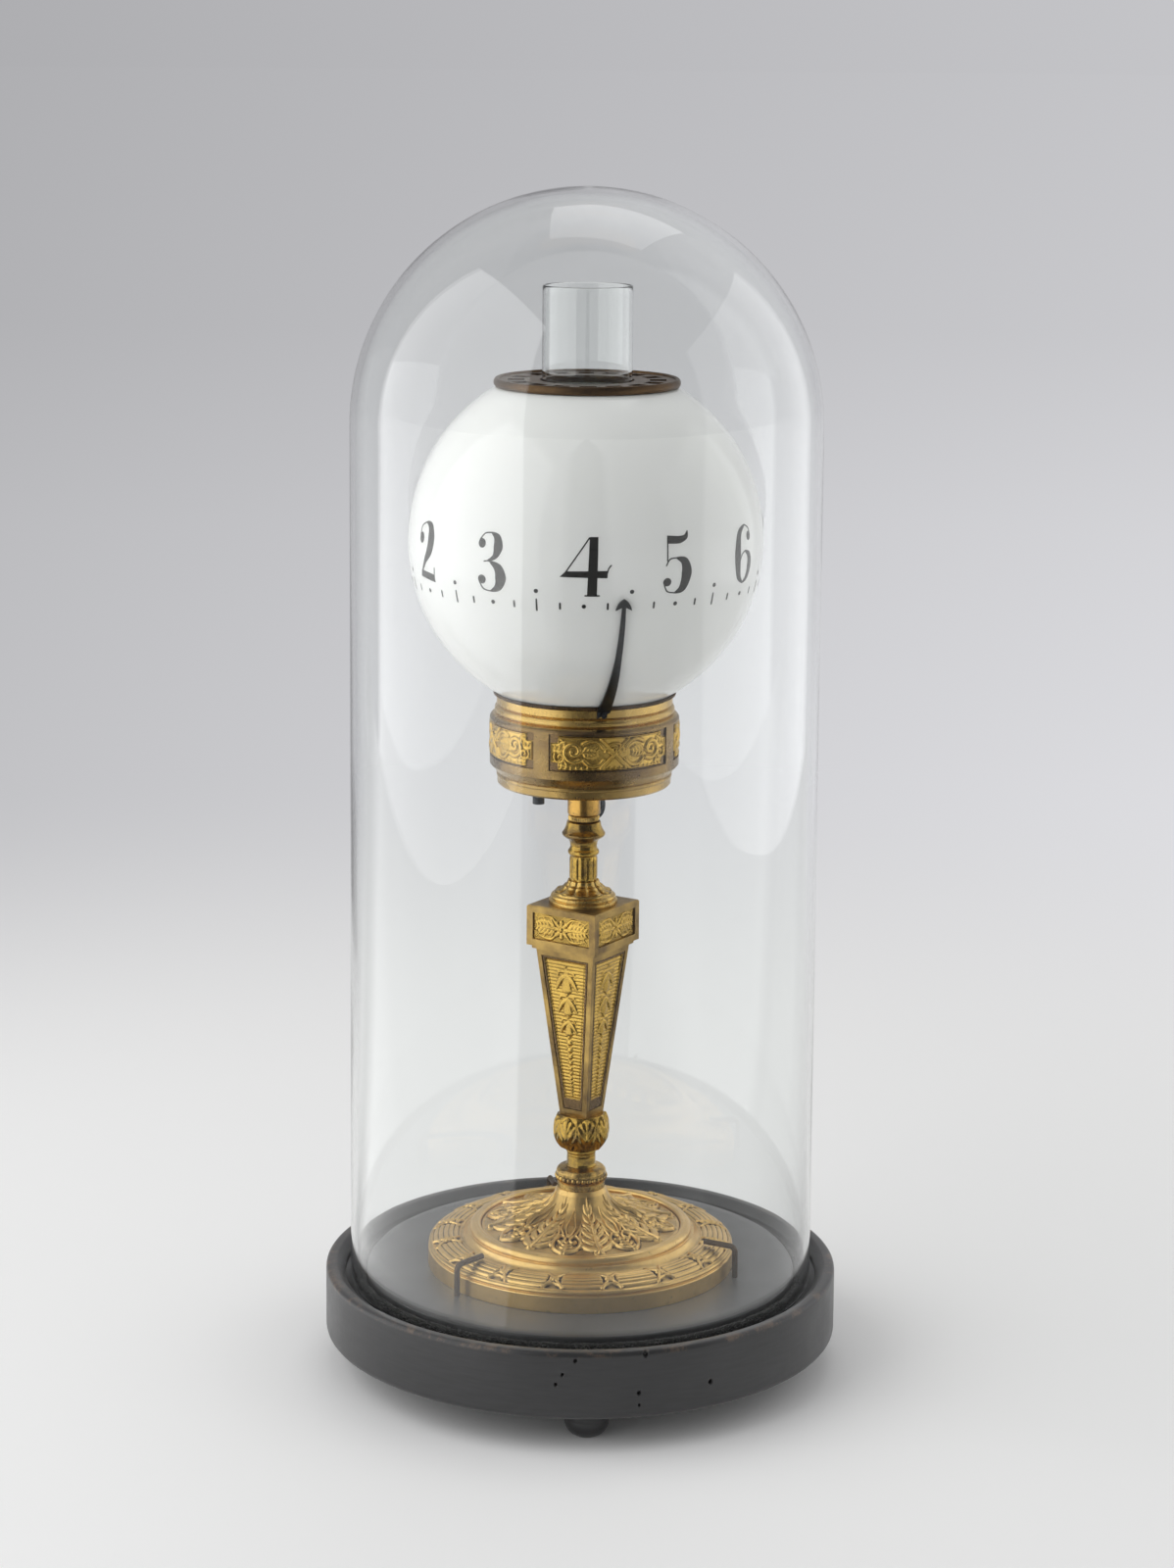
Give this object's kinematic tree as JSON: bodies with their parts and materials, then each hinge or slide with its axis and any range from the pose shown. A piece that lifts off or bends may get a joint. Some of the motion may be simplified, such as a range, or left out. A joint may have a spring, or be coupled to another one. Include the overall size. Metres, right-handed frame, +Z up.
{
  "type": "oil lamp clock",
  "caption": "Oil lamp clock: a turning opal globe with hour numerals over a drum movement, a fixed pointer, a brass column and a glass dome on a round wood base.",
  "frame": {"origin": "centre of the base on the surface that the feet stand on", "axes": "+Z up along the column, -Y towards the front, where the pointer stands"},
  "size_m": [0.2, 0.2, 0.4603],
  "materials": {
    "ebonised_wood": "satin black polish",
    "gilt_brass": "gilt, bright",
    "aged_brass": "gilt, tarnished",
    "dark_bronze": "dark brown patina",
    "clear_glass": "clear, polished",
    "opal_glass": "white opal, satin",
    "chenille": "black pile",
    "clip_wire": "dull",
    "blued_steel": "dark blued",
    "steel": "bright",
    "movement_brass": "plain brushed",
    "wick_cotton": "woven cotton"
  },
  "bodies": {
    "stand": {"wood_base": "ebonised_wood", "bun_feet": "ebonised_wood", "dome_cord": "chenille", "brass_foot": "gilt_brass", "foot_clips": "clip_wire", "foot_cone": "gilt_brass", "beaded_collar": "aged_brass", "lower_neck": "aged_brass", "leaf_ball": "gilt_brass", "column_shaft": "aged_brass", "column_cap": "aged_brass", "neck_ring": "aged_brass", "reeded_neck": "aged_brass", "knop": "aged_brass", "knurled_nut": "aged_brass", "upper_tube": "aged_brass", "tie_rod": "steel", "rod_nut": "steel", "drum_floor": "movement_brass", "drum_case": "aged_brass", "pointer": "blued_steel", "pointer_screw": "blued_steel", "lower_plate": "movement_brass", "upper_plate": "movement_brass", "movement_pillars": "movement_brass", "click_stud": "steel", "oil_font": "movement_brass", "burner": "movement_brass", "gallery": "movement_brass"},
    "dome": {"glass_dome": "clear_glass"},
    "globe": {"globe_carrier": "dark_bronze", "globe_glass": "opal_glass"},
    "vent": {"vent_cap": "dark_bronze"},
    "chimney": {"chimney": "clear_glass"},
    "hour_train": {"hour_arbor": "movement_brass"},
    "barrel": {"barrel": "movement_brass", "mainspring": "steel"},
    "winding": {"barrel_arbor": "steel", "ratchet_wheel": "steel", "winding_key": "blued_steel"},
    "click": {"click": "steel"},
    "third_train": {"third_wheel": "movement_brass"},
    "fourth_train": {"fourth_wheel": "movement_brass"},
    "escape": {"escape_wheel": "movement_brass"},
    "lever": {"pallet_lever": "steel"},
    "balance": {"balance_wheel": "steel"},
    "setting": {"setting_knob": "blued_steel"},
    "wick_feed": {"wick_spindle": "movement_brass"},
    "wick": {"wick": "wick_cotton"}
  },
  "joints": [
    {"name": "dome_lift", "type": "slide", "parent": "stand", "child": "dome", "axis": [0, 0, 1], "range_m": [0, 0.44]},
    {"name": "globe_turn", "type": "hinge", "parent": "stand", "child": "globe", "pos_m": [0, 0, 0.266], "axis": [0, 0, 1], "continuous": true},
    {"name": "vent_lift", "type": "slide", "parent": "globe", "child": "vent", "axis": [0, 0, 1], "range_m": [0, 0.045]},
    {"name": "chimney_lift", "type": "slide", "parent": "stand", "child": "chimney", "axis": [0, 0, 1], "range_m": [0, 0.02]},
    {"name": "hour_turn", "type": "hinge", "parent": "stand", "child": "hour_train", "pos_m": [-0.00783, 0.02205, 0.244], "axis": [0, 0, 1], "continuous": true},
    {"name": "barrel_turn", "type": "hinge", "parent": "stand", "child": "barrel", "pos_m": [0.00663, 0.01674, 0.239], "axis": [0, 0, 1], "continuous": true},
    {"name": "third_turn", "type": "hinge", "parent": "stand", "child": "third_train", "pos_m": [-0.01525, 0.01293, 0.239], "axis": [0, 0, 1], "continuous": true},
    {"name": "fourth_turn", "type": "hinge", "parent": "stand", "child": "fourth_train", "pos_m": [-0.0189, 0.00192, 0.239], "axis": [0, 0, 1], "continuous": true},
    {"name": "escape_turn", "type": "hinge", "parent": "stand", "child": "escape", "pos_m": [-0.01743, -0.00756, 0.239], "axis": [0, 0, 1], "continuous": true},
    {"name": "lever_swing", "type": "hinge", "parent": "stand", "child": "lever", "pos_m": [-0.01407, -0.01277, 0.239], "axis": [0, 0, 1], "range_deg": [-8, 8]},
    {"name": "balance_swing", "type": "hinge", "parent": "stand", "child": "balance", "pos_m": [-0.00849, -0.017, 0.242], "axis": [0, 0, 1], "range_deg": [-135, 135]},
    {"name": "winding_turn", "type": "hinge", "parent": "stand", "child": "winding", "pos_m": [0.00663, 0.01674, 0.229], "axis": [0, 0, 1], "continuous": true},
    {"name": "click_swing", "type": "hinge", "parent": "stand", "child": "click", "pos_m": [-0.00167, 0.02334, 0.2335], "axis": [0, 0, 1], "range_deg": [-12, 0]},
    {"name": "setting_turn", "type": "hinge", "parent": "stand", "child": "setting", "pos_m": [-0.01816, -0.00127, 0.227], "axis": [0, 0, 1], "range_deg": [-60, 60]},
    {"name": "wick_feed_turn", "type": "hinge", "parent": "stand", "child": "wick_feed", "pos_m": [0, 0.0026, 0.2712], "axis": [1, 0, 0], "range_deg": [-50, 140]},
    {"name": "wick_rise", "type": "slide", "parent": "stand", "child": "wick", "axis": [0, 0, 1], "range_m": [-0.002, 0.005]}
  ],
  "couplings": [
    {"joint": "hour_turn", "follows": "globe_turn", "ratio": -12},
    {"joint": "barrel_turn", "follows": "globe_turn", "ratio": 2},
    {"joint": "third_turn", "follows": "globe_turn", "ratio": 72},
    {"joint": "escape_turn", "follows": "fourth_turn", "ratio": -5},
    {"joint": "wick_rise", "follows": "wick_feed_turn", "m_per_rad": 0.0016}
  ]
}
